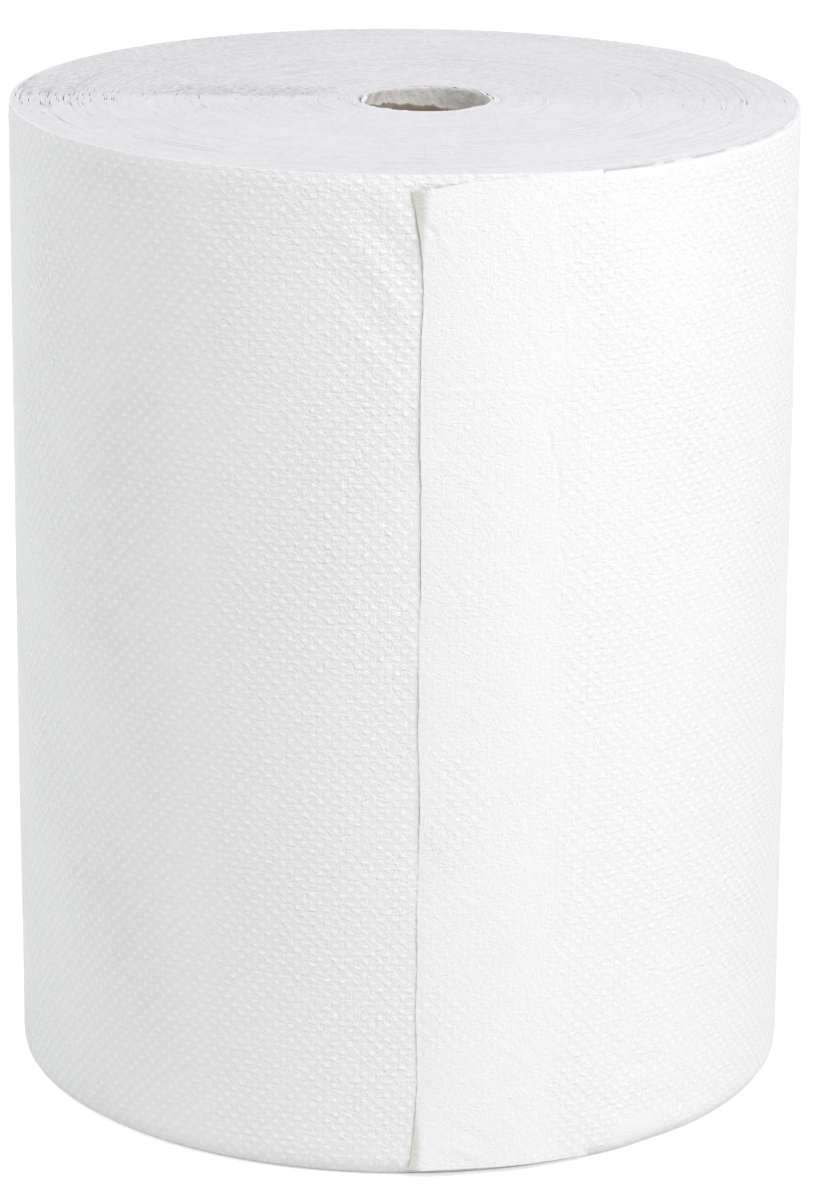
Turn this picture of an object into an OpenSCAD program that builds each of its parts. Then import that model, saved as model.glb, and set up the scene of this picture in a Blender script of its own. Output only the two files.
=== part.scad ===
// A roll of embossed tissue for wiping udders, standing on its end.
// The paper is one solid: its turns show as a spiral line on both ends, and the outermost
// turn ends in a loose vertical edge whose corners lift. A cardboard tube lies inside.
// Origin: middle of the foot, +Z up the roll, +X to the right of the loose edge.

/* [Roll] */
// Width of the paper web, which is the height of the roll on its end
web_width = 240; // [180:1:320]
// Diameter across the outermost turn
roll_d = 190; // [160:1:260]
// Rounding of the worn lower rim
foot_round = 3; // [0.5:0.1:4]
// Rounding of the upper rim
rim_round = 0.8; // [0.3:0.1:2]
// How far the outermost turns sit below the top face
rim_step = 0.4; // [0.2:0.1:1.5]
// Width of the band of lower turns at the upper rim
rim_band = 1.6; // [1.2:0.1:6]
// How much lower than those the outermost turn has slipped to the right of its loose edge
slip = 0.8; // [0.2:0.1:2]
// Angle from the loose edge to where the slipped stretch ends
slip_end = 120; // [60:5:170]

/* [Core] */
// Outer diameter of the cardboard tube
core_d = 31.8; // [25:0.1:60]
// Wall of the cardboard tube
core_wall = 1.2; // [0.8:0.1:3]
// How far the tube ends sit inside the paper
core_recess = 4.5; // [3:0.1:12]
// Lean of the tube's upper cut, higher on the left
core_slant = 5.5; // [0:0.5:6]
// Gap between the tube and the first turn
core_gap = 0.1; // [0.05:0.01:0.3]
// Shift of the tube to the right of the roll's middle
core_right = 5; // [0:0.5:8]
// Shift of the tube towards the front of the roll
core_front = 3; // [0:0.5:8]

/* [Turns] */
// Number of turns drawn on each end
turn_count = 24; // [9:1:28]
// Width of the spiral line
line_w = 0.7; // [0.4:0.1:1.2]
// Depth of the spiral line
line_depth = 0.6; // [0.3:0.1:1.5]
// Flat left between the spiral line and the hole or the rim band
line_margin = 1.2; // [1:0.1:4]

/* [Loose end] */
// Thickness of the outermost sheet as drawn
sheet_t = 0.6; // [0.4:0.05:1]
// Direction of the loose edge, seen from above
tail_azimuth = -87.5; // [-180:0.5:180]
// Length of paper, along the turn, over which the end comes away
free_len = 43; // [20:1:70]
// Length of paper, along the turn, over which the edge lifts
lift_len = 15; // [6:0.5:18]
// Lift of the upper corner
lift_top = 2.8; // [0.5:0.1:5]
// Lift of the lower corner
lift_foot = 1.8; // [0.5:0.1:4]
// Lift of the edge between its corners
lift_mid = 0.35; // [0.2:0.05:0.8]
// Height over which each corner's lift fades
lift_fade = 26; // [10:1:60]
// How much lower the upper corner hangs than the turn it belongs to
corner_drop = 2.2; // [0:0.1:5]
// How much higher the lower corner sits than the turn it belongs to
corner_rise = 1; // [0:0.1:4]
// Sideways waver of the loose edge
edge_waver = 0.35; // [0:0.05:1]

/* [Hidden] */
$fn = 96;

roll_r = roll_d / 2;
// One turn closes on itself a sheet further in, so each half of it has its own centre
half_shift = sheet_t / 4;
near_r = roll_r - half_shift;
far_r = roll_r - 3 * half_shift;
rim_z = web_width - rim_step;
slip_z = rim_z - slip;
// How much further in the slipped stretch lies
slip_in = 0.1;
top_r = roll_r - sheet_t - rim_band;
hole_r = core_d / 2 + core_gap;
// The spiral line runs from the rim band to the hole, whose middles lie apart, so the centre
// of each half turn lies a little nearer to the hole's than the last one's.
ecc = norm([core_right, core_front]);
ecc_azimuth = atan2(-core_front, core_right);
line_out = top_r - line_margin - line_w / 2;
line_in = hole_r + line_margin + line_w / 2;
// How far a cutter passes the face that it cuts
over = 1;
// Steps in a rounded rim
round_steps = 4;
// Steps of the loose end across and up
lift_steps = 6;
flat_steps = 5;
high_steps = 28;
// How deep the loose end is set into the turn below, and into its own turn
sink = 0.15;
root_sink = 0.15;
root_deg = 1;
// How far the root of the loose end stays from the rounded rims
root_clear = 0.3;
// Power of the share by which the upper edge falls towards its corner
drop_power = 4;
free_deg = free_len / near_r * 180 / PI;
lift_deg = lift_len / near_r * 180 / PI;
// Waves of the loose edge from foot to top
waver_count = 3.5;

// Radius and height of the outline of a wound cylinder of radius r
function foot_arc(r) = [
    for (i = [0:round_steps])
        let (a = 90 * i / round_steps)
        [r - foot_round * (1 - sin(a)), foot_round * (1 - cos(a))]
];
function rim_arc(r, top) = [
    for (i = [0:round_steps])
        let (a = 90 * i / round_steps)
        [r - rim_round * (1 - cos(a)), top - rim_round * (1 - sin(a))]
];

module roll_section(r, top) {
    polygon(concat([[0, 0]], foot_arc(r), rim_arc(r, top), [[0, top]]));
}

// Part of a turn, from one direction to another about its own centre
module turn_sector(r, from, to, top = rim_z) {
    rotate([0, 0, from])
        rotate_extrude(angle = to - from)
            roll_section(r, top);
}

// The wound body: the inner turns, which stand a little higher, and the two halves of the outer
// ones. In the near half the turn below shows under the loose end and above the slipped turn.
module wound_body() {
    cylinder(r = top_r, h = web_width);
    rotate([0, 0, tail_azimuth]) {
        translate([half_shift, 0, 0]) {
            turn_sector(near_r - sheet_t, 0, 180);
            turn_sector(near_r - slip_in, free_deg, 180, slip_z);
            turn_sector(near_r, slip_end, 180);
        }
        translate([-half_shift, 0, 0])
            turn_sector(far_r, 180, 360);
    }
}

// Where turn n of the spiral line crosses the shift axis, on its outward and its opposite side,
// in whole hundredths so that the half turns meet exactly
function hundredths(x) = round(x * 100) / 100;
function cross_out(n) = hundredths(line_out + (ecc + line_in - line_out) * n / turn_count);
function cross_back(n) =
    hundredths((ecc - line_in + line_out) * (n + 0.5) / turn_count - line_out);

// Half a turn of the line between two crossings, cut down from z = 0
module half_line(right, left, start) {
    translate([(right + left) / 2, 0, -line_depth])
        rotate([0, 0, start])
            rotate_extrude(angle = 180)
                translate([(right - left) / 2 - line_w / 2, 0])
                    square([line_w, line_depth + over]);
}

// The spiral line of one end
module spiral_line() {
    rotate([0, 0, ecc_azimuth])
        for (n = [0:turn_count - 1]) {
            half_line(cross_out(n), cross_back(n), 0);
            half_line(cross_out(n + 1), cross_back(n), 180);
        }
}

// Directions of the loose end's rows, from the edge to its root in the turn
function row_deg(i) =
    i <= lift_steps ? lift_deg * i / lift_steps
    : i <= lift_steps + flat_steps ? lift_deg + (free_deg - lift_deg) * (i - lift_steps) / flat_steps
    : free_deg + root_deg;
// Share of the way from the edge to the root
function row_share(i) = min(1, row_deg(i) / free_deg);
function row_top(i) =
    slip_z - rim_round - root_clear - corner_drop * pow(1 - row_share(i), drop_power);
function row_foot(i) = foot_round + root_clear + corner_rise * (1 - row_share(i));
// Heights lie closer together towards both corners
function row_z(i, j) =
    row_foot(i) + (row_top(i) - row_foot(i)) * (1 - cos(180 * j / high_steps)) / 2;
function fade(distance) = pow(max(0, 1 - distance / lift_fade), 2);
function edge_lift(z) =
    lift_mid + (lift_top - lift_mid) * fade(web_width - z) + (lift_foot - lift_mid) * fade(z);
function row_lift(i, z) = edge_lift(z) * pow(max(0, 1 - row_deg(i) / lift_deg), 2);
function waver_deg(i, z) =
    edge_waver / near_r * 180 / PI * max(0, 1 - row_deg(i) / lift_deg)
        * sin(360 * waver_count * z / web_width);
function sheet_point(i, j, depth) =
    let (z = row_z(i, j), a = row_deg(i) + waver_deg(i, z), r = near_r + row_lift(i, z) - depth)
    [r * cos(a), r * sin(a), z];

// The loose end of the outermost turn
module loose_end() {
    last = lift_steps + flat_steps + 1;
    rows = last + 1;
    cols = high_steps + 1;
    outer = [
        for (i = [0:last], j = [0:high_steps])
            sheet_point(i, j, i == last ? root_sink : 0)
    ];
    inner = [for (i = [0:last], j = [0:high_steps]) sheet_point(i, j, sheet_t + sink)];
    far = rows * cols;
    function at(i, j) = i * cols + j;
    outer_faces = [
        for (i = [0:last - 1], j = [0:high_steps - 1])
            each [[at(i, j), at(i, j + 1), at(i + 1, j + 1)], [at(i, j), at(i + 1, j + 1), at(i + 1, j)]]
    ];
    inner_faces = [for (f = outer_faces) [f[2] + far, f[1] + far, f[0] + far]];
    // The narrow faces round the sheet, along its four edges
    walls = [
        for (j = [0:high_steps - 1])
            each [
                [at(0, j), at(0, j) + far, at(0, j + 1)],
                [at(0, j + 1), at(0, j) + far, at(0, j + 1) + far],
                [at(last, j), at(last, j + 1), at(last, j) + far],
                [at(last, j + 1), at(last, j + 1) + far, at(last, j) + far]
            ],
        for (i = [0:last - 1])
            each [
                [at(i, 0), at(i + 1, 0), at(i, 0) + far],
                [at(i + 1, 0), at(i + 1, 0) + far, at(i, 0) + far],
                [at(i, high_steps), at(i, high_steps) + far, at(i + 1, high_steps)],
                [at(i + 1, high_steps), at(i, high_steps) + far, at(i + 1, high_steps) + far]
            ]
    ];
    rotate([0, 0, tail_azimuth])
        translate([half_shift, 0, 0])
            polyhedron(concat(outer, inner), concat(outer_faces, inner_faces, walls));
}

module paper_roll() {
    color([0.95, 0.95, 0.96])
        difference() {
            union() {
                wound_body();
                loose_end();
            }
            translate([core_right, -core_front, -over])
                cylinder(r = hole_r, h = web_width + 2 * over);
            translate([0, 0, web_width])
                spiral_line();
            mirror([0, 0, 1])
                spiral_line();
        }
}

// The tube that the paper is wound on, cut straight below and at a slant above
module core() {
    tube_h = web_width - 2 * core_recess;
    color([0.6, 0.55, 0.48])
        translate([core_right, -core_front, core_recess])
            difference() {
                cylinder(d = core_d, h = tube_h + core_d);
                translate([0, 0, -over])
                    cylinder(d = core_d - 2 * core_wall, h = tube_h + core_d + 2 * over);
                translate([0, 0, tube_h])
                    rotate([0, core_slant, 0])
                        translate([-core_d, -core_d, 0])
                            cube([2 * core_d, 2 * core_d, 3 * core_d]);
            }
}

paper_roll();
core();
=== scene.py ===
"""A roll of embossed udder paper, standing on its end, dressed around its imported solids.

Places on the paper are told as on the web itself: "along" is the length of paper from the loose
edge, to the right, and "up" is the height on the web. Lengths are in metres.
"""

import math

import bmesh
import bpy
import numpy as np
from mathutils import Matrix, Vector


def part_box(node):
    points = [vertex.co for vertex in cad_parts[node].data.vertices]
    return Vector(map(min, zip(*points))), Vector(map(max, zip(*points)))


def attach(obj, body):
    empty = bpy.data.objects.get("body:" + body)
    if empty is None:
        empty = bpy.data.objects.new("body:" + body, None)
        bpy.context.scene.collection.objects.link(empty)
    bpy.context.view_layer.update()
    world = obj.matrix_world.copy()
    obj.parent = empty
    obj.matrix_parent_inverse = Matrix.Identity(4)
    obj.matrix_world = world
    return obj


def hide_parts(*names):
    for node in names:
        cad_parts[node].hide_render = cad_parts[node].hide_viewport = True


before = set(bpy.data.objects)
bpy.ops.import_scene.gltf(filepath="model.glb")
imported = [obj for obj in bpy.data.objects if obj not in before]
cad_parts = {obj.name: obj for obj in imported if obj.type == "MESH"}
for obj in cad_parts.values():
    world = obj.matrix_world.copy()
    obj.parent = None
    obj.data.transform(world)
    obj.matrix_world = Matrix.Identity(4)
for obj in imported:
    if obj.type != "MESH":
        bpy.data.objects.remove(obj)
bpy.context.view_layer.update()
PAPER_LOW, PAPER_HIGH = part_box("paper_roll")
CORE_LOW, CORE_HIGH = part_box("core")

bl_info = {
    "name": "Udder Paper Roll",
    "version": (1, 0, 0),
    "blender": (4, 5, 0),
    "location": "View3D > Sidebar > Paper Roll",
    "description": "Builds an embossed tissue roll with a loose end on its cardboard tube",
    "category": "Add Mesh",
}

MM = 0.001
BODY = "root"
TURN = 2 * math.pi
WHITE = (1.0, 1.0, 1.0)
HOLE_MIDDLE = (CORE_LOW + CORE_HIGH) / 2
# Height, in millimetres, of the web on which creases, dents and rows are told
DRAWN_WEB = 240
# Height of a sheet's fine wrinkles, and where in the noise they start
WRINKLE_HEIGHT = 0.16 * MM
WRINKLE_SEED = 4.0
# Half width and half height of a dot, as it stands in the mesh and at its crisper top
DOT_HALVES = (1.6 * MM, 1.45 * MM)
CRISP_HALVES = (1.2 * MM, 0.95 * MM)
# Steps of the rounded foot
FOOT_STEPS = 4
# Waves that make up one noise
WAVES = 7
# Angle at which the slipped stretch starts, and over which it ends
SLIP_FADE = math.radians(4)
# How much stronger the creases are than their tables tell
CREASE_STRENGTH = 1.5
# Rows of points to each drawn turn's edge, and points around it
SAMPLES = 3
EDGE_SEGMENTS = 200


# Sizes and colours

def length(name, description, default):
    return bpy.props.FloatProperty(
        name=name, description=description, default=default, unit="LENGTH", precision=5
    )


def bearing(name, description, degrees):
    return bpy.props.FloatProperty(
        name=name, description=description, default=math.radians(degrees), subtype="ANGLE"
    )


def whole_number(name, description, default, least):
    return bpy.props.IntProperty(name=name, description=description, default=default, min=least)


def colour(name, description, default):
    return bpy.props.FloatVectorProperty(
        name=name, description=description, default=default, size=3, min=0, max=1, subtype="COLOR"
    )


class RollSizes(bpy.types.PropertyGroup):
    """Sizes of the wound paper and of the tube in it"""

    web_width: length("Web width", "Height of the roll on its end", PAPER_HIGH.z)
    radius: length("Radius", "Radius of the outermost turn at the loose edge", 0.095)
    sheet_step: length("Sheet step", "How far one turn lies inside the last", 0.6 * MM)
    sheet_thickness: length("Sheet thickness", "Thickness of the loose end", 0.25 * MM)
    loose_azimuth: bearing("Loose edge", "Direction of the loose edge, seen from above", -87.5)
    dot_across: length("Dots across", "Pitch of the embossed dots in a row", 3.553 * MM)
    dot_up: length("Dots up", "Pitch of the embossed dots in a column", 3.5 * MM)
    dot_height: length("Dot height", "Height of an embossed dot", 0.26 * MM)
    free_periods: whole_number("Loose dots", "Dot pitches along the loose end", 12, 4)
    rim_drop: length("Rim drop", "How far the outer turns sit below the top", 0.12 * MM)
    slump: length("Slump", "How much lower the outer turns sit on the right", 0.75 * MM)
    slip: length("Slipped turn", "How much lower than those the outermost turn sits", 0.4 * MM)
    slip_end: bearing("Slip end", "Angle from the loose edge to the lower stretch's end", 120)
    foot_round: length("Foot rounding", "Rounding of the lower rim at the front", 4.4 * MM)
    foot_round_back: length("Back foot rounding", "The same at the back", 1.6 * MM)
    lift_top: length("Upper lift", "Lift of the loose end's upper corner", 1.9 * MM)
    lift_foot: length("Lower lift", "Lift of the loose end's lower corner", 1.3 * MM)
    bed: length("Bed", "How deep the loose edge lies below its turn's radius", 0.36 * MM)
    lift_length: length("Lifted length", "Length of paper over which the edge lifts", 15 * MM)
    lift_fade: length("Lift fade", "Height over which a corner's lift fades", 26 * MM)
    corner_drop: length("Corner drop", "How much lower the upper corner hangs", 2.3 * MM)
    curl_width: length("Curl", "Width of the strip that curls down at the corners", 3.3 * MM)
    corner_rise: length("Corner rise", "How much higher the lower corner sits", 0.9 * MM)
    hole_radius: length("Hole radius", "Radius of the hole in the paper", 16 * MM)
    core_wall: length("Tube wall", "Wall of the cardboard tube", 1.2 * MM)
    core_slant: bearing("Tube slant", "Slant of the tube's upper cut", 5.5)
    drawn_turns: whole_number("Drawn turns", "Turns drawn on each end", 150, 8)


class RollColours(bpy.types.PropertyGroup):
    """Colours of the paper, the tube and the floor"""

    tissue: colour("Tissue", "The embossed side of the paper", (0.90, 0.90, 0.90))
    edges: colour("Paper edges", "The turns' edges on both ends", (0.845, 0.84, 0.868))
    # Painted shade: the gaps between the turns are coloured near black, standing in for the shade
    # in them
    painted_gap_shade: colour("Gaps", "The gaps between the turns", (0.17, 0.16, 0.16))
    # Painted shade: the paper around the hole is the tissue coloured greyer and warmer, standing
    # in for the hole's shade and the warm light bounced from the tube
    inner: colour("Inner turn", "The paper around the hole", (0.80, 0.78, 0.755))
    board: colour("Cardboard", "The tube", (0.165, 0.13, 0.10))
    board_edge: colour("Torn edge", "The tube's torn edge", (0.32, 0.265, 0.21))
    floor: colour("Floor", "The floor", (0.82, 0.82, 0.82))


# Node trees

class Field:
    """A value in a node tree, on which an operator adds the Math node that works it out."""

    def __init__(self, graph, socket):
        self.graph = graph
        self.socket = socket

    def __add__(self, other):
        return self.graph.maths("ADD", self, other)

    __radd__ = __add__

    def __sub__(self, other):
        return self.graph.maths("SUBTRACT", self, other)

    def __rsub__(self, other):
        return self.graph.maths("SUBTRACT", other, self)

    def __mul__(self, other):
        return self.graph.maths("MULTIPLY", self, other)

    __rmul__ = __mul__

    def __truediv__(self, other):
        return self.graph.maths("DIVIDE", self, other)

    def __rtruediv__(self, other):
        return self.graph.maths("DIVIDE", other, self)


class Graph:
    """Adds nodes to a tree of shader or geometry nodes."""

    def __init__(self, tree):
        self.tree = tree
        tree.nodes.clear()

    def node(self, kind, settings=None, values=None, output=0):
        """Adds a node with its settings and its values, and returns one of its outputs."""
        made = self.tree.nodes.new(kind)
        for key, value in (settings or {}).items():
            setattr(made, key, value)
        if isinstance(values, (list, tuple)):
            values = dict(enumerate(values))
        for key, value in (values or {}).items():
            if isinstance(value, Field):
                self.tree.links.new(value.socket, made.inputs[key])
            else:
                made.inputs[key].default_value = value
        return Field(self, made.outputs[output]) if output is not None else made

    def maths(self, operation, *values):
        return self.node("ShaderNodeMath", {"operation": operation}, values)

    def smooth(self, value, low, high):
        """0 below low, 1 above high and a smooth step between them."""
        return self.node(
            "ShaderNodeMapRange", {"interpolation_type": "SMOOTHSTEP"},
            {"Value": value, "From Min": low, "From Max": high},
        )

    def place(self, x, y, z):
        return self.node("ShaderNodeCombineXYZ", None, [x, y, z])

    def split(self, place):
        """The three numbers of a place."""
        made = self.node("ShaderNodeSeparateXYZ", None, [place], output=None)
        return [Field(self, socket) for socket in made.outputs]

    def vector_maths(self, operation, *values):
        return self.node("ShaderNodeVectorMath", {"operation": operation}, values)

    def noise(self, where, scale, detail=2.0, roughness=0.5):
        return self.node(
            "ShaderNodeTexNoise", None,
            {"Vector": where, "Scale": scale, "Detail": detail, "Roughness": roughness},
        )

    def line_noise(self, where, scale, detail=1.0):
        """Noise along one number."""
        return self.node(
            "ShaderNodeTexNoise", {"noise_dimensions": "1D"},
            {"W": where, "Scale": scale, "Detail": detail},
        )

    def mix(self, share, first, second):
        """A colour between two."""
        first, second = ((*c, 1) if isinstance(c, tuple) else c for c in (first, second))
        return self.node(
            "ShaderNodeMix", {"data_type": "RGBA"}, {0: share, 6: first, 7: second}, output=2
        )


def start_tree(name, numbers):
    """A Geometry Nodes tree, its graph, and its named inputs as fields."""
    tree = bpy.data.node_groups.new(name, "GeometryNodeTree")
    graph = Graph(tree)
    kinds = {"Geometry": "Geometry", **dict.fromkeys(numbers, "Float"), "Material": "Material"}
    for label, kind in kinds.items():
        tree.interface.new_socket(label, in_out="INPUT", socket_type="NodeSocket" + kind)
    tree.interface.new_socket("Geometry", in_out="OUTPUT", socket_type="NodeSocketGeometry")
    given = tree.nodes.new("NodeGroupInput")
    return tree, graph, {s.name: Field(graph, s) for s in given.outputs if s.name}


def finish_tree(graph, geometry, material):
    """Makes a tree's geometry real, gives it its material and hands it on."""
    real = graph.node("GeometryNodeRealizeInstances", None, [geometry])
    done = graph.node("GeometryNodeSetMaterial", None, {"Geometry": real, "Material": material})
    graph.node("NodeGroupOutput", None, {"Geometry": done}, output=None)


def dots(graph, along, up, across_pitch, up_pitch, halves):
    """Height, from 0 to 1, of dots that stand in rows, every other row half a pitch on."""
    half_width, half_height = halves
    near = []
    for shift in (0.0, 0.5):
        x = along / across_pitch + shift
        y = up / up_pitch + shift
        dx = (x - graph.maths("ROUND", x)) * across_pitch / half_width
        dy = (y - graph.maths("ROUND", y)) * up_pitch / half_height
        near.append(dx * dx + dy * dy)
    dome = 1 - graph.maths("MINIMUM", graph.maths("MINIMUM", *near), 1.0)
    return dome * dome


# Meshes

def grid_faces(rows, cols, close_rows=False, close_cols=False, start=0, flip=False):
    """Quads of a grid of points, whose last row or column may join the first."""
    r = np.arange(rows if close_rows else rows - 1)
    c = np.arange(cols if close_cols else cols - 1)
    r, c = np.meshgrid(r, c, indexing="ij")
    r2, c2 = (r + 1) % rows, (c + 1) % cols
    quads = np.stack([r * cols + c, r * cols + c2, r2 * cols + c2, r2 * cols + c], -1)
    quads = quads.reshape(-1, 4) + start
    return quads[:, ::-1] if flip else quads


def mesh_piece(name, points, quads, **fields):
    """A smooth object from points and quads, with number fields kept on its points."""
    mesh = bpy.data.meshes.new(name)
    mesh.vertices.add(len(points))
    mesh.vertices.foreach_set("co", np.asarray(points, np.float32).ravel())
    mesh.loops.add(quads.size)
    mesh.loops.foreach_set("vertex_index", np.asarray(quads, np.int32).ravel())
    mesh.polygons.add(len(quads))
    mesh.polygons.foreach_set("loop_start", np.arange(len(quads), dtype=np.int32) * 4)
    mesh.polygons.foreach_set("use_smooth", np.ones(len(quads), bool))
    for key, values in fields.items():
        field = mesh.attributes.new(key, "FLOAT", "POINT")
        field.data.foreach_set("value", np.asarray(values, np.float32).ravel())
    mesh.update(calc_edges=True)
    mesh.validate()
    made = bpy.data.objects.new(name, mesh)
    bpy.context.scene.collection.objects.link(made)
    return made


def with_tree(made, tree, **inputs):
    """Runs a Geometry Nodes tree on an object and keeps the result as its plain mesh."""
    modifier = made.modifiers.new(tree.name, "NODES")
    modifier.node_group = tree
    named = {s.name: s.identifier for s in tree.interface.items_tree if s.in_out == "INPUT"}
    for name, value in inputs.items():
        modifier[named[name.replace("_", " ").capitalize()]] = value
    depsgraph = bpy.context.evaluated_depsgraph_get()
    mesh = bpy.data.meshes.new_from_object(made.evaluated_get(depsgraph))
    made.modifiers.remove(modifier)
    old, made.data = made.data, mesh
    mesh.name = made.name
    bpy.data.meshes.remove(old)


def face_outwards(made):
    """Merges a closed mesh's doubles and turns its faces outwards."""
    work = bmesh.new()
    work.from_mesh(made.data)
    bmesh.ops.remove_doubles(work, verts=work.verts, dist=1e-6)
    bmesh.ops.recalc_face_normals(work, faces=work.faces)
    work.to_mesh(made.data)
    work.free()


def finish_piece(made, sharp_angle=40):
    """Marks the sharp edges, and tells the frame the piece's body."""
    made.data.set_sharp_from_angle(angle=math.radians(sharp_angle))
    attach(made, BODY)
    if made.data.materials and made.data.materials[0] is None:
        raise RuntimeError(f"{made.name} has no material")


def ring_points(radius, azimuth, height, middle=(0, 0)):
    """Points around an upright axis through the middle."""
    x = middle[0] + radius * np.cos(azimuth)
    y = middle[1] + radius * np.sin(azimuth)
    return np.stack(np.broadcast_arrays(x, y, height), -1)


# The web

def step(x, low, high):
    t = np.clip((x - low) / (high - low), 0, 1)
    return t * t * (3 - 2 * t)


def wave_noise(a, b, seed):
    """Smooth noise between -1 and 1 from waves of many directions."""
    source = np.random.default_rng(seed)
    total = np.zeros(np.broadcast(a, b).shape)
    for _ in range(WAVES):
        direction, phase = source.uniform(0, TURN, 2)
        pace = source.uniform(0.5, 1.6) * TURN
        total = total + np.sin(pace * (a * np.cos(direction) + b * np.sin(direction)) + phase)
    return total / math.sqrt(WAVES) / 1.4


# How strongly the dots stand out: places on the web, in degrees from the loose edge, and shares
PRESS_STOPS = (
    (0, 0.16), (17, 0.10), (19.5, 0.18), (22, 0.45), (40, 0.5), (55, 0.62), (80, 0.72), (150, 0.8),
    (285, 0.95), (320, 0.9), (323.5, 0.7), (329, 0.62), (331.5, 0.8), (355, 0.72), (360, 0.7),
    (400, 0.7),
)
# Spots where the dots stand out more or less: along, up, half length, half height, share
PRESS_SPOTS = (
    (8, 92, 8, 17, 0.3), (57, 4, 10, 6, -0.5), (5, 40, 6, 9, 0.2), (12, 140, 8, 10, 0.15),
    (36, 200, 7, 14, -0.2), (38, 96, 6, 20, -0.15),
)
# Creases: along and up of both ends, half width and height, in millimetres
CREASES = (
    (28.6, 187.7, 27.5, 182.9, 0.35, -0.16), (29.0, 180.7, 30.3, 174.3, 0.35, -0.18),
    (31.6, 172.3, 31.8, 161.4, 0.4, -0.18), (33.2, 151.5, 33.5, 148, 0.4, -0.14),
    (0.7, 228.4, 3.1, 225.7, 0.5, -0.3), (2.4, 226.3, 7.0, 221.8, 0.7, 0.16),
    (2.0, 191.3, 27.4, 190.2, 0.45, -0.09), (2.0, 190.3, 27.4, 189.2, 0.5, 0.07),
    (2.2, 162.2, 27.8, 160.9, 0.45, -0.08), (2.2, 161.2, 27.8, 159.9, 0.5, 0.07),
    (4.3, 8.6, 15.6, 4.4, 0.6, 0.2), (6.0, 13.5, 17.0, 8.5, 0.7, -0.12),
    (6.7, 172.6, 18.3, 160.4, 0.5, 0.1), (8.0, 166.0, 13.0, 171.5, 0.5, -0.09),
    (7.1, 118.1, 14.1, 113.0, 0.5, 0.09), (9.0, 121.0, 20.0, 117.0, 0.5, -0.08),
    (14.0, 214.0, 22.0, 209.0, 0.5, 0.08), (18.0, 232.0, 24.0, 219.0, 0.8, 0.1),
    (22.0, 205.0, 27.0, 196.0, 0.5, -0.08), (16.0, 150.0, 26.0, 141.0, 0.6, 0.09),
    (4.0, 148.0, 10.0, 139.0, 0.5, -0.08), (10.0, 70.0, 22.0, 62.0, 0.6, 0.08),
    (5.0, 58.0, 12.0, 49.0, 0.5, -0.07), (20.0, 96.0, 25.0, 84.0, 0.6, 0.07),
    (17.0, 34.0, 28.0, 26.0, 0.6, 0.1), (27.5, 236.0, 29.0, 20.0, 0.9, 0.06),
    (50.5, 19.7, 65.8, 20.3, 1.2, -0.22), (50.0, 17.6, 66.5, 18.0, 1.3, 0.14),
    (46.0, 9.0, 60.0, 2.5, 1.6, 0.2), (62.0, 12.0, 74.0, 6.0, 1.4, -0.2),
    (70.0, 232.0, 84.0, 236.0, 1.2, 0.12), (44.0, 236.0, 60.0, 229.0, 1.0, -0.1),
)
# The same on the turn that shows to the left of the loose edge, where along is negative
DRAPES = (
    (-20.5, 229.0, -2.6, 205.0, 1.8, 0.16), (-15.0, 232.5, -1.8, 215.0, 1.4, -0.16),
    (-24.0, 221.0, -6.0, 197.0, 2.0, -0.12), (-10.0, 235.0, -1.2, 224.0, 1.2, 0.18),
    (-17.0, 206.0, -4.0, 188.0, 1.8, 0.09), (-12.0, 14.0, -2.0, 26.0, 1.6, 0.12),
    (-9.0, 6.0, -1.5, 17.0, 1.2, -0.12), (-60.0, 230.0, -44.0, 214.0, 2.4, 0.1),
)


def crease_height(along, up, creases):
    """Height of all creases at places on the web, given and returned in metres."""
    total = np.zeros(np.broadcast(along, up).shape)
    x, y = along / MM, up / MM
    for x1, y1, x2, y2, half_width, height in creases:
        reach = math.hypot(x2 - x1, y2 - y1)
        ux, uy = (x2 - x1) / reach, (y2 - y1) / reach
        on = (x - x1) * ux + (y - y1) * uy
        off = (x - x1) * -uy + (y - y1) * ux
        off = off - 0.06 * reach * np.sin(on / reach * math.pi)
        ends = (step(end, -0.18 * reach, 0.25 * reach) for end in (on, reach - on))
        shape = math.prod(ends) * np.exp(-(off / half_width) ** 2)
        total += CREASE_STRENGTH * height * MM * shape
    return total


def press(along, up, radius):
    """Share, from 0 to about 1, of the dots' full height at places on the web."""
    degrees = np.degrees(along / radius)
    places, shares = zip(*PRESS_STOPS)
    share = np.interp(degrees, places, shares)
    x, y = along / MM, up / MM
    for x0, y0, half_x, half_y, more in PRESS_SPOTS:
        far = np.hypot((x - x0) / half_x, (y - y0) / half_y)
        share = share + more * (1 - step(far, 0.55, 1.15))
    share = share * (1 + 0.25 * wave_noise(x / 60, y / 45, 3))
    return np.clip(share, 0.03, 1.1)


def unevenness(along, up):
    """Slow waves of the outermost turns, in metres outwards."""
    x, y = along / MM, up / MM
    slow = 0.16 * wave_noise(x / 150, y / 900, 11) + 0.07 * wave_noise(x / 45, y / 130, 12)
    worn = 0.35 * wave_noise(x / 34, y / 60, 13) * np.exp(-y / 14)
    return (slow + worn * step(x, 20, 45) * (1 - step(x, 170, 220))) * MM


def web_points(roll, angle, radius, up):
    """Points at angles from the loose edge, around the roll's middle."""
    return ring_points(radius, roll.loose_azimuth + angle, up)


def web_radius(roll, angle):
    """Radius of the wound web, which lies one sheet further in after each turn."""
    return roll.radius - roll.sheet_step * angle / TURN


def before_slip_end(roll, angle):
    """1 up to the end of the slipped stretch, and 0 after it."""
    return 1 - step(angle, roll.slip_end - SLIP_FADE, roll.slip_end)


def lower_stretch(roll, angle):
    """1 where the outer turns have slipped down, to the right of the loose edge."""
    angle = angle % TURN
    return step(angle, SLIP_FADE, math.radians(26)) * before_slip_end(roll, angle)


def rim_level(roll, angle):
    """Height of the outer turns' upper edges."""
    return roll.web_width - roll.rim_drop - roll.slump * lower_stretch(roll, angle)


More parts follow.
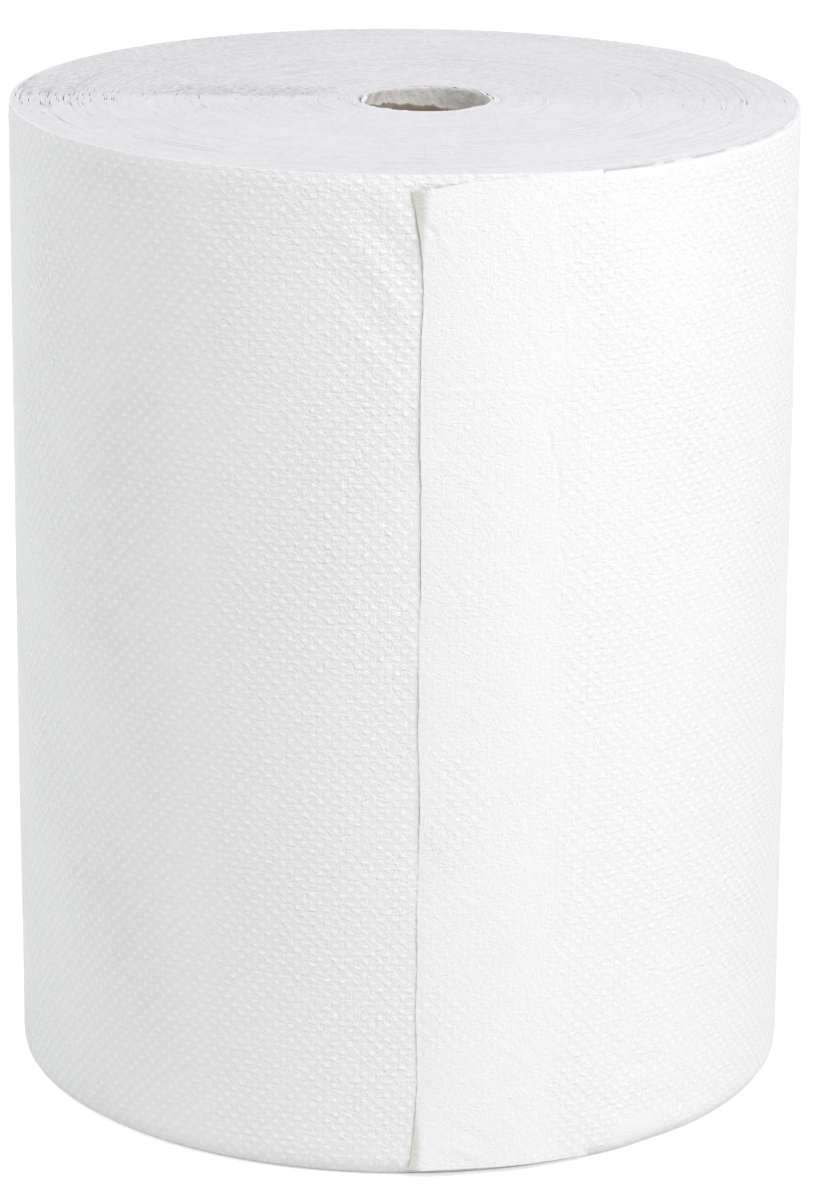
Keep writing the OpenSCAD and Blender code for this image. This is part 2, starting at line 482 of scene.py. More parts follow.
def slipped(roll, angle):
    """How far the outermost turn's upper edge sits below that of the turns next to it."""
    waver = 1 + 0.3 * np.sin(3.1 * angle) + 0.15 * np.sin(11 * angle + 1)
    return roll.slip * before_slip_end(roll, angle) * waver


def embossing():
    """The tree that raises the dots and the fine wrinkles of a sheet."""
    numbers = ("Dots across", "Dots up", "Dot height", "Wrinkle height", "Seed")
    tree, graph, wanted = start_tree("Embossed Tissue", numbers)

    def field(name):
        settings = {"data_type": "FLOAT"}
        return graph.node("GeometryNodeInputNamedAttribute", settings, {"Name": name})

    along, up, share = field("along"), field("up"), field("press")
    raised = dots(graph, along, up, wanted["Dots across"], wanted["Dots up"], DOT_HALVES)
    where = graph.place(along * 330.0, up * 520.0, wanted["Seed"])
    wrinkles = graph.noise(where, 1.0, 3.0, 0.6) - 0.5
    outwards = raised * share * wanted["Dot height"] * field("outer")
    height = outwards + wrinkles * wanted["Wrinkle height"] * field("loose")
    position = graph.node("GeometryNodeInputPosition")
    flat = graph.vector_maths("MULTIPLY", position, (1.0, 1.0, 0.0))
    radial = graph.vector_maths("NORMALIZE", flat)
    offset = graph.node(
        "ShaderNodeVectorMath", {"operation": "SCALE"}, {"Vector": radial, "Scale": height}
    )
    moved = graph.node(
        "GeometryNodeSetPosition", None, {"Geometry": wanted["Geometry"], "Offset": offset}
    )
    finish_tree(graph, moved, wanted["Material"])
    return tree


def shared(name, make):
    """A node tree or material that is made once."""
    store = bpy.data.node_groups if name in bpy.data.node_groups else bpy.data.materials
    return store[name] if name in store else make()


def emboss(made, roll):
    """Raises the dots and wrinkles of a sheet whose points hold their places on the web."""
    with_tree(
        made, shared("Embossed Tissue", embossing), dots_across=roll.dot_across,
        dots_up=roll.dot_up, dot_height=roll.dot_height, wrinkle_height=WRINKLE_HEIGHT,
        seed=WRINKLE_SEED, material=shared("Embossed tissue", tissue_material),
    )
    face_outwards(made)


class ROLL_OT_outer_turn(bpy.types.Operator):
    """Add the outermost turn, with its embossed dots"""

    bl_idname = "paper_roll.outer_turn"
    bl_label = "Add Outer Turn"

    def execute(self, context):
        roll = context.scene.roll_sizes
        periods = round(TURN * roll.radius / roll.dot_across)
        columns = 4 * periods
        root = 4 * roll.free_periods
        angle = (np.arange(columns + 1) + root) / columns * TURN
        along = angle * roll.radius
        radius = web_radius(roll, angle)
        front = step(np.sin(-roll.loose_azimuth - angle), -0.6, 0.9)
        foot = roll.foot_round_back + (roll.foot_round - roll.foot_round_back) * front
        sheet_top = rim_level(roll, angle) - slipped(roll, angle)
        # How far in the hidden wall lies, how round the sheet's edge is, and how wide its top is
        band, edge = 5.5 * MM, 0.12 * MM
        reach = roll.sheet_step + 0.45 * MM

        # Each row's way outwards from the turn's radius, and its height
        rows = [(-band, 0), (-foot, 0)]
        for share in range(1, FOOT_STEPS + 1):
            turn = math.pi / 2 * share / FOOT_STEPS
            rows.append((-foot * (1 - math.sin(turn)), foot * (1 - math.cos(turn))))
        below, first = len(rows), 1.5 * roll.dot_up
        count = int((roll.web_width - 3.7 * MM - first) / (roll.dot_up / 2)) + 1
        rows += [(0, first + row * roll.dot_up / 2) for row in range(count)]
        rows += [
            (0, sheet_top - edge), (-0.3 * edge, sheet_top - 0.3 * edge), (-edge, sheet_top),
            (-reach, sheet_top), (-reach, sheet_top - 4 * MM), (-band, 30 * MM),
        ]
        inward, up = (
            np.array([np.broadcast_to(row[i], angle.shape) for row in rows]) for i in (0, 1)
        )
        here = np.broadcast_to(along, up.shape)
        side = np.zeros(up.shape)
        side[below:below + count] = 1
        bend = unevenness(here, np.maximum(up, 0)) * (inward > -band)
        bend = bend + crease_height(here, up, CREASES) * side
        bend = bend + crease_height(here - TURN * roll.radius, up, DRAPES) * side
        points = web_points(roll, np.broadcast_to(angle, up.shape), radius + inward + bend, up)
        share = press(here, up, roll.radius)
        quads = grid_faces(*up.shape, close_rows=True, close_cols=True)
        cut = np.zeros(up.shape)
        cut[-4:-1] = 1
        made = mesh_piece(
            "outer_turn", points.reshape(-1, 3), quads, along=here, up=up,
            press=share, outer=side, loose=side * 0.5, cut=cut,
        )
        emboss(made, roll)
        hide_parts("paper_roll")
        finish_piece(made)
        return {"FINISHED"}


class ROLL_OT_loose_end(bpy.types.Operator):
    """Add the loose end, whose corners lift"""

    bl_idname = "paper_roll.loose_end"
    bl_label = "Add Loose End"

    def execute(self, context):
        roll = context.scene.roll_sizes
        periods = round(TURN * roll.radius / roll.dot_across)
        columns = 8 * roll.free_periods
        angle = np.arange(columns + 1) / (8 * periods) * TURN
        along = angle * roll.radius
        free_length = along[-1]
        share = along / free_length
        foot = roll.foot_round_back + 0.2 * MM + roll.corner_rise * (1 - share)
        top = rim_level(roll, angle) - slipped(roll, angle) - 0.1 * MM
        top = top - roll.corner_drop * (1 - share) ** 4 - 0.7 * MM * (1 - share) ** 2
        first, last = 1.5 * roll.dot_up, roll.web_width - 9 * MM
        middle = np.arange(first, last, roll.dot_up / 4)
        up = np.array(
            [foot + (first - foot) * t for t in (0, 1 / 3, 2 / 3)]
            + [np.broadcast_to(z, angle.shape) for z in middle]
            + [middle[-1] + (top - middle[-1]) * t for t in (0.2, 0.4, 0.6, 0.8, 1)]
        )
        here = np.broadcast_to(along, up.shape)

        def share_left(distance, reach):
            """1 at no distance, falling to 0 at the reach."""
            return np.maximum(0, 1 - distance / reach)

        def on_both(values):
            return np.tile(values.ravel(), 2)

        x, z = here / MM, up / MM
        at_top = share_left(roll.web_width - up, roll.lift_fade) ** 2
        at_foot = share_left(up, roll.lift_fade) ** 2
        lift = (
            -roll.bed * (1 + 0.25 * wave_noise(z / 38, 0, 21))
            + (roll.lift_top + roll.bed) * at_top + (roll.lift_foot + roll.bed) * at_foot
        )
        # Near the corners a strip beyond the ridge is folded down again to the turn below
        curled = share_left(here, 1.0 * MM)
        lift = lift * share_left(here, roll.lift_length) ** 2
        most = np.minimum(1, 2.5 * (at_top + at_foot))
        lift = lift + (-0.8 * roll.bed - lift) * curled * most
        waver = (
            0.16 * np.sin(TURN * 3.5 * z / DRAWN_WEB) + 0.16 * wave_noise(z / 21, 0, 22)
            + 0.09 * wave_noise(z / 5, 0, 23)
        ) * MM * share_left(here, roll.lift_length)
        waver = waver - roll.curl_width * (1.1 * at_top + 0.7 * at_foot) * curled
        ripple = 0.1 * wave_noise(x / 22, z / 30, 24) * MM * (1 - step(x, 26, 40))
        bend = lift + ripple + crease_height(here, up, CREASES) + unevenness(here, up)
        radius = web_radius(roll, angle) + bend
        outer = web_points(roll, angle + waver / roll.radius, radius, up)
        # The sheet closes on the turn below towards its root
        thickness = roll.sheet_thickness + (roll.sheet_step - roll.sheet_thickness) * step(
            share, 0.45, 0.95
        )
        inner = web_points(roll, angle + waver / roll.radius, radius - thickness, up)
        rows, cols = up.shape
        inner_start = rows * cols
        index = np.arange(rows * cols).reshape(rows, cols)
        rims = [
            np.stack([a[1:], a[:-1], a[:-1] + inner_start, a[1:] + inner_start], -1)
            for a in (index[0], index[-1, ::-1], index[::-1, 0], index[:, -1])
        ]
        quads = np.concatenate(
            [grid_faces(rows, cols), grid_faces(rows, cols, start=inner_start, flip=True), *rims]
        )
        fixed = 1 - step(x, free_length / MM - 4, free_length / MM)
        made = mesh_piece(
            "loose_end", np.concatenate([outer.reshape(-1, 3), inner.reshape(-1, 3)]), quads,
            along=on_both(here + waver), up=on_both(up),
            press=on_both(press(here, up, roll.radius)), outer=np.repeat([1.0, 0.0], inner_start),
            loose=on_both(0.35 + 0.65 * fixed * (1 - step(x, 22, 34))),
            folded=on_both(curled * most),
        )
        emboss(made, roll)
        finish_piece(made)
        return {"FINISHED"}


def wound_edges():
    """The tree that draws the turns' edges on one end, as rings of a spiral."""
    tree, graph, wanted = start_tree("Wound Edges", (
        "Outer radius", "Sheet step", "Hole radius", "Hole right", "Hole back", "Level", "Inwards",
        "Slab", "Turns", "Start", "Relief", "Gap depth", "Slump", "Slip end", "Seed",
    ))

    # The grid that comes in holds the share of a turn in x, and the row in y
    share, row, _ = graph.split(graph.node("GeometryNodeInputPosition"))
    turns = wanted["Turns"]
    wound = (row + share * SAMPLES) / SAMPLES
    inwards_share = graph.maths("MAXIMUM", graph.maths("MINIMUM", wound / turns, 1.0), 0.0)
    last = turns * SAMPLES
    outer_wall = graph.maths("LESS_THAN", row, -SAMPLES - 0.5)
    inner_wall = graph.maths("GREATER_THAN", row, last + 0.5)
    closing = graph.maths("GREATER_THAN", row, last + 1.5)
    inwards_share = inwards_share * (1 - outer_wall)
    inwards_share = graph.maths("MAXIMUM", inwards_share, inner_wall) * (1 - closing)

    angle = share * TURN + wanted["Start"]
    cosine, sine = graph.maths("COSINE", angle), graph.maths("SINE", angle)
    sample = graph.maths("FLOORED_MODULO", row + 0.01, SAMPLES)
    gap = graph.maths("LESS_THAN", sample, 0.5)
    length_wound = graph.maths("FLOOR", row / SAMPLES + 0.01) + share
    drift = graph.line_noise(length_wound + wanted["Seed"], 1.9, 2.0) - 0.5
    group = graph.line_noise(length_wound + wanted["Seed"], 0.16, 1.0) - 0.5
    round_about = graph.place(cosine * 0.9, sine * 0.9, length_wound * 0.55 + wanted["Seed"])
    local = graph.noise(round_about, 1.6, 2.0) - 0.5
    # The turns part in short gaps, most of them on the left and near the rim
    parted = graph.place(cosine * 11.0, sine * 11.0, length_wound * 0.9 + wanted["Seed"])
    left = graph.smooth(0 - cosine, 0.8, 1.0) * graph.smooth(sine, -0.25, 0.1)
    left = left * (1 - 0.8 * graph.smooth(inwards_share, 0.15, 0.4))
    right = graph.smooth(cosine, 0.8, 1.0)
    parted = graph.smooth(graph.noise(parted, 1.0, 1.0) + 0.17 * left - 0.02 * right, 0.67, 0.73)
    outermost = wanted["Outer radius"] - wanted["Sheet step"] * share
    radius = outermost + (wanted["Hole radius"] - outermost) * inwards_share
    wander = local * gap * 0.0002
    border = graph.smooth(inwards_share, 0.0, 0.02) * (1 - graph.smooth(inwards_share, 0.985, 1.0))
    radius = radius + wander * border
    depth = (drift * 0.9 + group * 0.7 + local * 0.5) * wanted["Relief"]
    depth = graph.maths("MAXIMUM", depth + wanted["Relief"] * 0.55, 0.0)
    fall = graph.smooth(share * TURN, 0.07, 0.45)
    fall = fall * (1 - graph.smooth(share * TURN, wanted["Slip end"] - 0.07, wanted["Slip end"]))
    slump = fall * (1 - graph.smooth(inwards_share, 0.0, 0.04)) * wanted["Slump"]
    groove = gap * (0.15 * wanted["Relief"] + parted * wanted["Gap depth"]) * border
    walls = graph.maths("MAXIMUM", outer_wall, inner_wall)
    level = (depth * border + groove + slump) * (1 - walls) + walls * wanted["Slab"]
    moved = graph.place(
        wanted["Hole right"] * inwards_share + radius * cosine,
        wanted["Hole back"] * inwards_share + radius * sine,
        wanted["Level"] + level * wanted["Inwards"],
    )
    # The numbers are stored before the points move, while the grid's places can still be read
    stored = wanted["Geometry"]
    for name, value in (("wound", wound), ("parted", gap * (0.35 + parted))):
        stored = graph.node(
            "GeometryNodeStoreNamedAttribute", {"data_type": "FLOAT", "domain": "POINT"},
            {"Geometry": stored, "Name": name, "Value": value},
        )
    placed = graph.node("GeometryNodeSetPosition", None, {"Geometry": stored, "Position": moved})
    finish_tree(graph, placed, wanted["Material"])
    return tree


class ROLL_OT_turn_edges(bpy.types.Operator):
    """Add the edges of all turns on both ends"""

    bl_idname = "paper_roll.turn_edges"
    bl_label = "Add Turn Edges"

    def execute(self, context):
        roll = context.scene.roll_sizes
        # Rows run from the outer wall over the turns to the inner wall and back below them
        row = np.arange(-SAMPLES - 1, roll.drawn_turns * SAMPLES + 3, dtype=float)
        share = np.linspace(0, 1, EDGE_SEGMENTS + 1)
        x, y = np.meshgrid(share, row)
        points = np.stack([x, y, 0 * x], -1).reshape(-1, 3)
        quads = grid_faces(len(row), len(share))
        upper = roll.web_width - roll.rim_drop + 0.03 * MM
        # Each end's level, its way inwards, the band left around it, its slump and its seed
        ends = (
            ("upper_edges", upper, -1.0, roll.sheet_step + 0.36 * MM, roll.slump, 7.0),
            ("lower_edges", 0.05 * MM, 1.0, 4.3 * MM, 0.0, 31.0),
        )
        for name, level, inwards, band, slump, seed in ends:
            made = mesh_piece(name, points, quads)
            with_tree(
                made, shared("Wound Edges", wound_edges),
                outer_radius=roll.radius - band, sheet_step=roll.sheet_step,
                hole_radius=roll.hole_radius + 0.35 * MM,
                hole_right=HOLE_MIDDLE.x, hole_back=HOLE_MIDDLE.y, level=level, inwards=inwards,
                slab=5 * MM, turns=float(roll.drawn_turns), start=roll.loose_azimuth,
                relief=0.3 * MM, gap_depth=0.7 * MM, slump=slump, slip_end=roll.slip_end,
                seed=seed, material=shared("Paper edges", edges_material),
            )
            face_outwards(made)
            finish_piece(made, sharp_angle=70)
        return {"FINISHED"}


class ROLL_OT_inner_turn(bpy.types.Operator):
    """Add the innermost turn, with its creased rims"""

    bl_idname = "paper_roll.inner_turn"
    bl_label = "Add Inner Turn"

    def execute(self, context):
        roll = context.scene.roll_sizes
        columns = 240
        azimuth = np.arange(columns) / columns * TURN
        # Heights of the rows on the drawn web, closer together at both rims
        heights = [240.0, 239.6, 239, 238.2, 237.2, 236, 234.6, 233, 231, 228, 200, 120, 40]
        heights += [12, 9, 7, 5.4, 4, 2.8, 1.8, 1.0, 0.4, 0.0]
        height = np.array(heights) / DRAWN_WEB * roll.web_width
        z, a = np.meshgrid(height, azimuth, indexing="ij")
        near_top = step(z, roll.web_width - 7 * MM, roll.web_width)
        near_foot = 1 - step(z, 0, 6 * MM)
        loose = np.maximum(near_top, near_foot)
        creases = wave_noise(a * 3.1, z / MM / 9, 41) * 0.55
        creases = creases + wave_noise(a * 7, z / MM / 5, 42) * 0.3
        creases = creases + 0.35 * np.sin(17 * a + z / MM * 0.5) * near_top
        # A crumpled fold on the left of the upper rim, by the share of the way into the hole
        fold = np.exp(-((a - math.radians(176)) / math.radians(13)) ** 2) * step(
            z, roll.web_width - 4.5 * MM, roll.web_width - 1 * MM
        )
        fold = fold * (1 + 0.4 * np.sin(31 * a + 3 * z / MM))
        inward = (0.35 * loose * (1 + creases) + 1.2 * fold) * MM
        radius = roll.hole_radius - np.maximum(inward, -0.02 * MM) - 0.03 * MM
        lip = 0.25 * MM * wave_noise(a * 2.2, 0, 43) * near_top
        z_in = z + (lip - 0.3 * MM * near_top) * (z > roll.web_width * 0.9)
        outer = radius[[0, -1]] + 0.45 * MM
        loop_r = np.concatenate([radius, outer[::-1]])
        loop_z = np.concatenate([z_in, z_in[-1:], z_in[:1]])
        loop_a = np.concatenate([a, a[:2]])
        points = ring_points(loop_r, loop_a, loop_z, HOLE_MIDDLE)
        quads = grid_faces(*loop_r.shape, close_rows=True, close_cols=True)
        made = mesh_piece("inner_turn", points.reshape(-1, 3), quads)
        made.data.materials.append(shared("Inner turn", inner_material))
        face_outwards(made)
        finish_piece(made, sharp_angle=60)
        return {"FINISHED"}


class ROLL_OT_core_tube(bpy.types.Operator):
    """Add the cardboard tube, with its torn upper edge"""

    bl_idname = "paper_roll.core_tube"
    bl_label = "Add Cardboard Tube"

    def execute(self, context):
        roll = context.scene.roll_sizes
        outer_radius = (CORE_HIGH.x - CORE_LOW.x) / 2
        inner_radius = outer_radius - roll.core_wall
        columns = 288
        azimuth = np.arange(columns) / columns * TURN
        side = np.cos(azimuth) * outer_radius
        low = CORE_LOW.z + 0.12 * MM * wave_noise(azimuth * 5, 0, 51)
        middle_top = CORE_HIGH.z - outer_radius * math.tan(roll.core_slant)
        ragged = 0.28 * wave_noise(azimuth * 3, 0, 52)
        ragged = ragged + 0.2 * wave_noise(azimuth * 14, 0, 53)
        top = middle_top - side * math.tan(roll.core_slant) + (ragged - 0.3) * MM
        radius, height = [], []
        for share in np.linspace(0, 1, 36):
            z = low + (top - low) * share
            # The strips of board are wound at a slant, and their seams show inside
            seam = (z / (46 * MM) + azimuth / TURN) % 1
            seam = np.exp(-((seam - 0.5) / 0.02) ** 2)
            radius.append(inner_radius + 0.12 * MM * seam)
            height.append(z)
        fray = 0.14 * wave_noise(azimuth * 22, 0, 54)
        wall = outer_radius - inner_radius
        for share, rise in ((0.12, 0.1), (0.5, 0.22 + fray), (0.88, 0.05)):
            radius.append(inner_radius + wall * share)
            height.append(top + rise * MM)
        radius += [outer_radius, outer_radius]
        height += [top, low]
        radius, height = (
            np.array([np.broadcast_to(row, azimuth.shape) for row in rows])
            for rows in (radius, height)
        )
        points = ring_points(radius, azimuth, height, HOLE_MIDDLE)
        quads = grid_faces(*radius.shape, close_rows=True, close_cols=True)
        torn = np.zeros(radius.shape)
        torn[-6:-1] = 1
        made = mesh_piece("core_tube", points.reshape(-1, 3), quads, torn=torn)
        made.data.materials.append(shared("Wound cardboard", board_material))
        face_outwards(made)
        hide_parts("core")
        finish_piece(made, sharp_angle=50)
        return {"FINISHED"}


# Materials

# Colour of the stains that the tube has left on the innermost turn
STAIN = (0.52, 0.46, 0.40)


def new_material(name):
    material = bpy.data.materials.new(name)
    material.use_nodes = True
    return material, Graph(material.node_tree)


def finish_material(graph, colour_field, roughness, height, bump_size, **constants):
    """A rough surface with a bump, whose constants are set on the shader itself."""
    bump = graph.node(
        "ShaderNodeBump", None, {"Height": height, "Distance": bump_size, "Strength": 1.0}
    )
    values = {"Base Color": colour_field, "Roughness": roughness, "Normal": bump}
    values.update({key.replace("_", " "): value for key, value in constants.items()})
    surface = graph.node("ShaderNodeBsdfPrincipled", None, values)
    graph.node("ShaderNodeOutputMaterial", None, {"Surface": surface}, output=None)


def attribute(graph, name):
    settings = {"attribute_name": name, "attribute_type": "GEOMETRY"}
    return graph.node("ShaderNodeAttribute", settings, output="Fac")


def object_place(graph):
    return graph.node("ShaderNodeTexCoord", output="Object")


def times(tint, share):
    """A colour made darker or paler."""
    return tuple(min(1.0, part * share) for part in tint)


def tissue_material():
    """White two-ply tissue with pressed dots, faint fibres and a slight mottle."""
    material, graph = new_material("Embossed tissue")
    roll = bpy.context.scene.roll_sizes
    colours = bpy.context.scene.roll_colours
    tint, cut_tint = tuple(colours.tissue), tuple(colours.edges)
    along, up, share = (attribute(graph, name) for name in ("along", "up", "press"))
    here = graph.place(along * 1000.0, up * 1000.0, 0.0)
    # The grain wanders, so that no dot is like the next
    bent = graph.noise(here, 0.55, 1.0, 0.6) - 0.5
    uneven = graph.noise(here, 0.31, 1.0, 0.5)
    pressed = share
    share = share * (0.2 + 1.6 * uneven)
    crisp = dots(
        graph, along + bent * 0.0007, up + bent * 0.0006, roll.dot_across, roll.dot_up,
        CRISP_HALVES,
    )
    grain = graph.noise(here, 1.35, 2.0, 0.75)
    crepe = graph.noise(graph.place(along * 650.0, up * 1500.0, 3.0), 1.0, 2.0, 0.65)
    mottle = graph.noise(here, 0.13, 1.0, 0.5)
    shade = graph.mix(mottle * 0.5, tint, times(tint, 0.985))
    grainy = graph.smooth(grain, 0.38, 0.62) * (0.3 + 0.6 * pressed)
    shade = graph.mix(grainy, shade, times(tint, 0.93))
    # Painted highlight: the tops of the dots are coloured paler than the paper, standing in for
    # the light they catch
    shade = graph.mix(crisp * share * 0.9, shade, times(tint, 1.06))
    # Painted shade and painted light: the strip that is folded down at the loose corners is
    # coloured darker, for its shade, and yellower, for light that comes through it
    painted_fold_shade = (tint[0] * 0.85, tint[1] * 0.85, tint[2] * 0.775)
    shade = graph.mix(graph.smooth(attribute(graph, "folded"), 0.0, 0.5), shade, painted_fold_shade)
    shade = graph.mix(graph.smooth(attribute(graph, "cut"), 0.2, 0.8), shade, cut_tint)
    height = crisp * share * 0.7 + (grain + crepe * 0.6) * (0.75 + 0.5 * pressed)
    finish_material(graph, shade, 0.94, height, 0.3 * MM, Specular_IOR_Level=0.25)
    return material


def edges_material():
    """Cut edges of many turns: fine lines of spiral, with painted shade in the gaps."""
    material, graph = new_material("Paper edges")
    colours = bpy.context.scene.roll_colours
    tint = tuple(colours.edges)
    wound, parted = attribute(graph, "wound"), attribute(graph, "parted")
    here = object_place(graph)
    right, back, _ = graph.split(here)
    left = 0 - right
    # The back of the end is scuffed, most of all on the left, and the front is smooth
    scuffed = graph.smooth(back, -0.004, 0.004) * (0.55 + 0.45 * graph.smooth(left, 0.0, 0.05))
    fine = graph.line_noise(wound, 2.6, 2.0)
    thin = graph.smooth(graph.line_noise(wound, 0.55, 1.0), 0.62, 0.72)
    broken = graph.smooth(graph.noise(here, 34.0, 2.0), 0.48, 0.62)
    bands = graph.line_noise(wound, 0.35, 2.0)
    grain = graph.noise(here, 620.0, 3.0, 0.85)
    mottle = graph.noise(here, 45.0, 1.0, 0.6)
    # Where the scuffing stops, on the left of the hole, the turns are crumpled
    crumpled = graph.smooth(back, -0.001, 0.001) * (1 - graph.smooth(back, 0.008, 0.016))
    crumpled = crumpled * graph.smooth(left, 0.008, 0.025) * (1 - graph.smooth(left, 0.052, 0.07))
    shade = tint
    # Where each coat shows, and how much darker or paler than the paper it is
    for where, share in (
        (graph.smooth(fine, 0.3, 0.75) * 0.55, 0.8),
        (graph.smooth(grain, 0.42, 0.58) * (0.55 + 0.45 * scuffed), 0.8),
        (graph.smooth(grain, 0.6, 0.68) * scuffed * 0.8, 0.74),
        (graph.smooth(grain, 0.56, 0.6) * crumpled, 0.5),
        ((1 - graph.smooth(grain, 0.36, 0.42)) * crumpled, 1.12),
        (thin * broken * 0.6, 0.5),
        (graph.smooth(bands, 0.35, 0.7) * 0.45, 0.88),
        (mottle * 0.4, 1.08),
    ):
        shade = graph.mix(where, shade, times(tint, share))
    # Painted shade: where the turns part, the colour goes near black for the shade in the gaps
    shade = graph.mix(graph.smooth(parted, 0.3, 0.9) * 0.9, shade, tuple(colours.painted_gap_shade))
    height = fine * 0.4 + grain * (0.9 + 1.6 * scuffed + 2.0 * crumpled)
    finish_material(graph, shade, 0.96, height, 0.25 * MM, Specular_IOR_Level=0.2)
    return material


def inner_material():
    """The innermost turn: tissue coloured greyer and warmer as painted shade of the hole, white at
    its upper rim.
    """
    material, graph = new_material("Inner turn")
    colours = bpy.context.scene.roll_colours
    here = object_place(graph)
    up = graph.split(here)[2]
    rim = graph.smooth(up, PAPER_HIGH.z - 1.1 * MM, PAPER_HIGH.z - 0.3 * MM)
    mottle = graph.noise(here, 190.0, 4.0, 0.65)
    stains = graph.smooth(graph.noise(here, 95.0, 4.0, 0.7), 0.46, 0.68)
    # Painted shade: below its upper rim the turn is greyer and warmer than the tissue, for the
    # shade in the hole
    tint = tuple(colours.inner)
    shade = graph.mix(mottle * 0.6, tint, times(tint, 0.84))
    shade = graph.mix(stains * 0.75, shade, STAIN)
    shade = graph.mix(rim, shade, tuple(colours.tissue))
    height = graph.noise(here, 420.0, 4.0, 0.65)
    finish_material(graph, shade, 0.95, height, 0.5 * MM, Specular_IOR_Level=0.2)
    return material


def board_material():
    """Grey-brown cardboard with short fibres, paler where it is torn."""
    material, graph = new_material("Wound cardboard")
    colours = bpy.context.scene.roll_colours
    here = object_place(graph)
    stretched = graph.vector_maths("MULTIPLY", here, (1.0, 1.0, 0.35))
    fibres = graph.noise(stretched, 900.0, 4.0, 0.7)
    patches = graph.noise(here, 120.0, 3.0, 0.6)
    tint = tuple(colours.board)
    shade = graph.mix(fibres * 0.7, tint, times(tint, 1.35))
    shade = graph.mix(patches * 0.5, shade, times(tint, 0.72))
    shade = graph.mix(attribute(graph, "torn") * 0.9, shade, tuple(colours.board_edge))
    finish_material(graph, shade, 0.9, fibres, 0.25 * MM, Specular_IOR_Level=0.25)
    return material


# The stage

CAMERA_PLACE = Vector((0, -1.1445, 0.4539))
CAMERA_FALL = math.radians(16.544)
CAMERA_SWING = math.radians(0.071)
CAMERA_ROLL = math.radians(0.369)
CAMERA_LENS, CAMERA_SENSOR = 145.0, 36
# Light that the room gives, and what the floor adds to be seen as white
ROOM_LIGHT = 0.26
FLOOR_GLOW = 0.6
FLOOR_HALF = 12
# Width of each round lamp, and then each one's place, power and colour
LAMP_WIDTH = 1.1
COOL = (0.96, 0.98, 1.0)
LAMPS = (
    ("key", (0.71, -1.22, 1.53), 18.8, WHITE),
    ("right", (1.22, -0.71, 1.53), 13.5, WHITE),
    ("left front", (-1.63, -0.94, 0.80), 4.9, WHITE),
    ("left", (-1.87, 0.16, 0.80), 6.0, COOL),
    ("left back", (-1.54, 1.08, 0.80), 9.4, COOL),
    ("right back", (0.94, 1.63, 0.80), 8.3, (0.97, 0.98, 1.0)),
)


def camera_or_clear_ray(graph):
    """1 for rays that come from the camera or through glass or a mirror, and 0 for light."""
    path = graph.node("ShaderNodeLightPath", output=None)
    seen = [
        Field(graph, path.outputs[name])
        for name in ("Is Camera Ray", "Is Glossy Ray", "Is Transmission Ray")
    ]
    return graph.maths("MAXIMUM", graph.maths("MAXIMUM", seen[0], seen[1]), seen[2])


def floor_material():
    """A pale floor that shows white, apart from the object's shadow."""
    material, graph = new_material("Pale floor")
    tint = (*bpy.context.scene.roll_colours.floor, 1)
    plain = graph.node("ShaderNodeBsdfDiffuse", None, {"Color": tint, "Roughness": 0.0})
    strength = camera_or_clear_ray(graph) * FLOOR_GLOW
    glow = graph.node("ShaderNodeEmission", None, {"Color": (*WHITE, 1), "Strength": strength})
    both = graph.node("ShaderNodeAddShader", None, [plain, glow])
    graph.node("ShaderNodeOutputMaterial", None, {"Surface": both}, output=None)
    return material


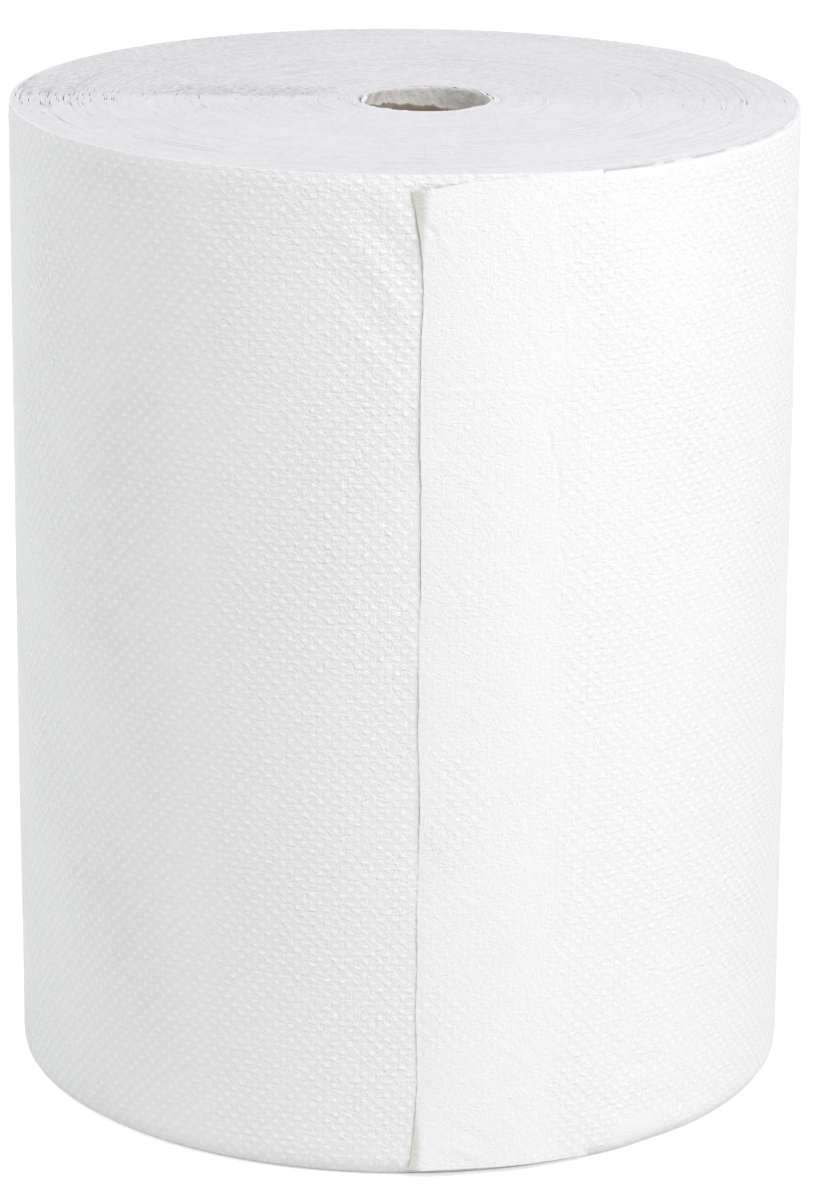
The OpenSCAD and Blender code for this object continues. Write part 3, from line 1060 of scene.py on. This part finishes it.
class ROLL_OT_stage(bpy.types.Operator):
    """Add the floor, the lamps, the surrounding light and the camera"""

    bl_idname = "paper_roll.stage"
    bl_label = "Add Stage"

    def execute(self, context):
        scene = context.scene
        work = bmesh.new()
        bmesh.ops.create_grid(work, x_segments=2, y_segments=2, size=FLOOR_HALF)
        mesh = bpy.data.meshes.new("floor")
        work.to_mesh(mesh)
        work.free()
        mesh.materials.append(floor_material())
        floor = bpy.data.objects.new("floor", mesh)
        scene.collection.objects.link(floor)

        world = bpy.data.worlds.new("Pale room")
        scene.world = world
        world.use_nodes = True
        graph = Graph(world.node_tree)
        strength = ROOM_LIGHT + camera_or_clear_ray(graph) * (1 - ROOM_LIGHT)
        glow = graph.node(
            "ShaderNodeBackground", None, {"Color": (*WHITE, 1), "Strength": strength}
        )
        graph.node("ShaderNodeOutputWorld", None, {"Surface": glow}, output=None)

        aim = Vector((0, 0, PAPER_HIGH.z / 2))
        for name, place, power, shade in LAMPS:
            data = bpy.data.lights.new(name, "AREA")
            data.shape = "DISK"
            data.size, data.energy, data.color = LAMP_WIDTH, power, shade
            lamp = bpy.data.objects.new(name, data)
            lamp.location = place
            lamp.rotation_mode = "QUATERNION"
            lamp.rotation_quaternion = (Vector(place) - aim).to_track_quat("Z", "Y")
            scene.collection.objects.link(lamp)

        data = bpy.data.cameras.new("camera")
        data.lens, data.sensor_width = CAMERA_LENS, CAMERA_SENSOR
        data.clip_start, data.clip_end = 0.05, 60
        camera = bpy.data.objects.new("camera", data)
        turned = (
            Matrix.Rotation(-CAMERA_SWING, 3, "Z")
            @ Matrix.Rotation(math.pi / 2 - CAMERA_FALL, 3, "X")
            @ Matrix.Rotation(CAMERA_ROLL, 3, "Z")
        )
        camera.location = CAMERA_PLACE
        camera.rotation_euler = turned.to_euler()
        scene.collection.objects.link(camera)
        scene.camera = camera
        scene.view_settings.view_transform = "Standard"
        return {"FINISHED"}


OPERATORS = (
    ROLL_OT_outer_turn, ROLL_OT_loose_end, ROLL_OT_turn_edges, ROLL_OT_inner_turn,
    ROLL_OT_core_tube, ROLL_OT_stage,
)


class VIEW3D_PT_paper_roll(bpy.types.Panel):
    """Sizes, colours and pieces of the roll"""

    bl_label = "Paper Roll"
    bl_space_type = "VIEW_3D"
    bl_region_type = "UI"
    bl_category = "Paper Roll"

    def draw(self, context):
        for group in (context.scene.roll_sizes, context.scene.roll_colours):
            column = self.layout.column(align=True)
            for name in group.bl_rna.properties.keys():
                if name not in ("name", "rna_type"):
                    column.prop(group, name)
        for operator in OPERATORS:
            self.layout.operator(operator.bl_idname)


CLASSES = (RollSizes, RollColours, *OPERATORS, VIEW3D_PT_paper_roll)


def register():
    for item in CLASSES:
        bpy.utils.register_class(item)
    bpy.types.Scene.roll_sizes = bpy.props.PointerProperty(type=RollSizes)
    bpy.types.Scene.roll_colours = bpy.props.PointerProperty(type=RollColours)


def unregister():
    del bpy.types.Scene.roll_colours
    del bpy.types.Scene.roll_sizes
    for item in reversed(CLASSES):
        bpy.utils.unregister_class(item)


def main():
    register()
    bpy.ops.paper_roll.outer_turn()
    bpy.ops.paper_roll.loose_end()
    bpy.ops.paper_roll.turn_edges()
    bpy.ops.paper_roll.inner_turn()
    bpy.ops.paper_roll.core_tube()
    bpy.ops.paper_roll.stage()


if __name__ == "__main__":
    main()
